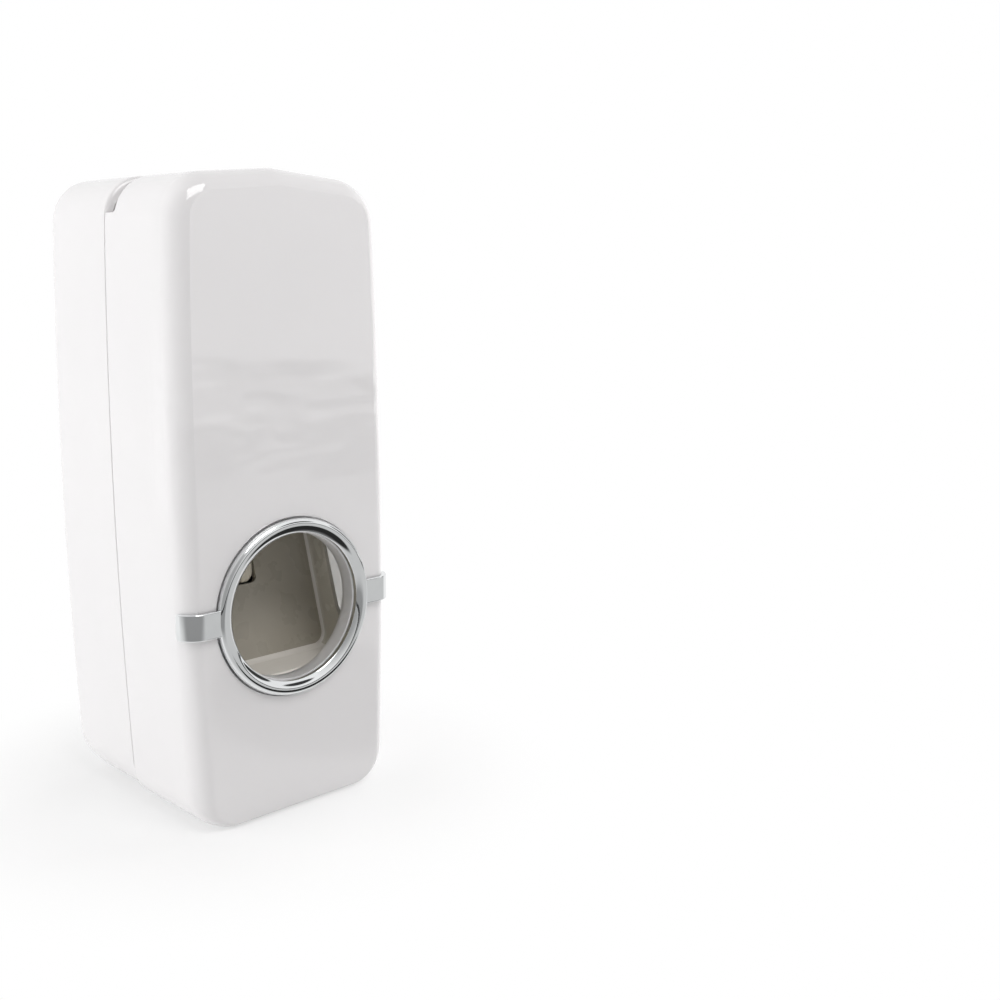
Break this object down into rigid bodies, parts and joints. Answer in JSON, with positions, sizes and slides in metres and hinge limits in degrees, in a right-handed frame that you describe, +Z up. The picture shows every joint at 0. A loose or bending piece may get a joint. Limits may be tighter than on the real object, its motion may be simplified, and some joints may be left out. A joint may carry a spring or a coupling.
{
  "type": "toothpaste dispenser",
  "caption": "Wall-hung vacuum toothpaste dispenser: white two-part case with a chrome-ringed port, and a sprung scoop that a toothbrush pushes to pump paste.",
  "frame": {"origin": "bottom centre of the whole object's box, on the surface that it stands on", "axes": "+Z up, +Y towards the rear wall that hangs on the bathroom wall, +X to the right seen from the front; the port faces -Y"},
  "size_m": [0.0632, 0.0623, 0.157],
  "materials": {
    "shell_white": "glossy moulded white plastic",
    "chrome": "bright chrome plating",
    "frame_plastic": "satin moulded plastic",
    "pump_plastic": "satin moulded plastic",
    "scoop_plastic": "warm pale moulded plastic",
    "nozzle_plastic": "ivory moulded plastic",
    "silicone": "matt translucent silicone",
    "black_rubber": "matt rubber",
    "steel": "bright zinc plated steel",
    "dark_steel": "blackened spring steel"
  },
  "bodies": {
    "case": {"rear_case": "shell_white", "chassis": "frame_plastic", "chassis_screws": "steel", "pump_body": "pump_plastic", "pump_screws": "steel", "chamber_plug": "pump_plastic", "chamber_seal": "black_rubber", "channel_plug": "pump_plastic", "pump_bulb": "silicone", "bulb_retainer": "frame_plastic", "inlet_valve": "silicone", "outlet_valve": "silicone", "nozzle": "nozzle_plastic", "pivot_pins": "steel", "pin_clips": "dark_steel", "return_springs": "steel", "stop_pads": "black_rubber", "tube_socket": "frame_plastic", "socket_screws": "steel", "tube_seal": "silicone", "seal_ring": "frame_plastic"},
    "cover": {"front_cover": "shell_white", "port_ring": "chrome"},
    "scoop": {"push_lever": "scoop_plastic"}
  },
  "joints": [
    {"name": "cover_pull", "type": "slide", "parent": "case", "child": "cover", "axis": [0, -1, 0], "range_m": [0, 0.06]},
    {"name": "scoop_push", "type": "hinge", "parent": "case", "child": "scoop", "pos_m": [0, 0.00119, 0.077], "axis": [1, 0, 0], "range_deg": [0, 12], "stiffness_Nm_per_rad": 0.3, "springref_deg": -4.58, "deforming": ["return_springs", "pump_bulb"]}
  ]
}
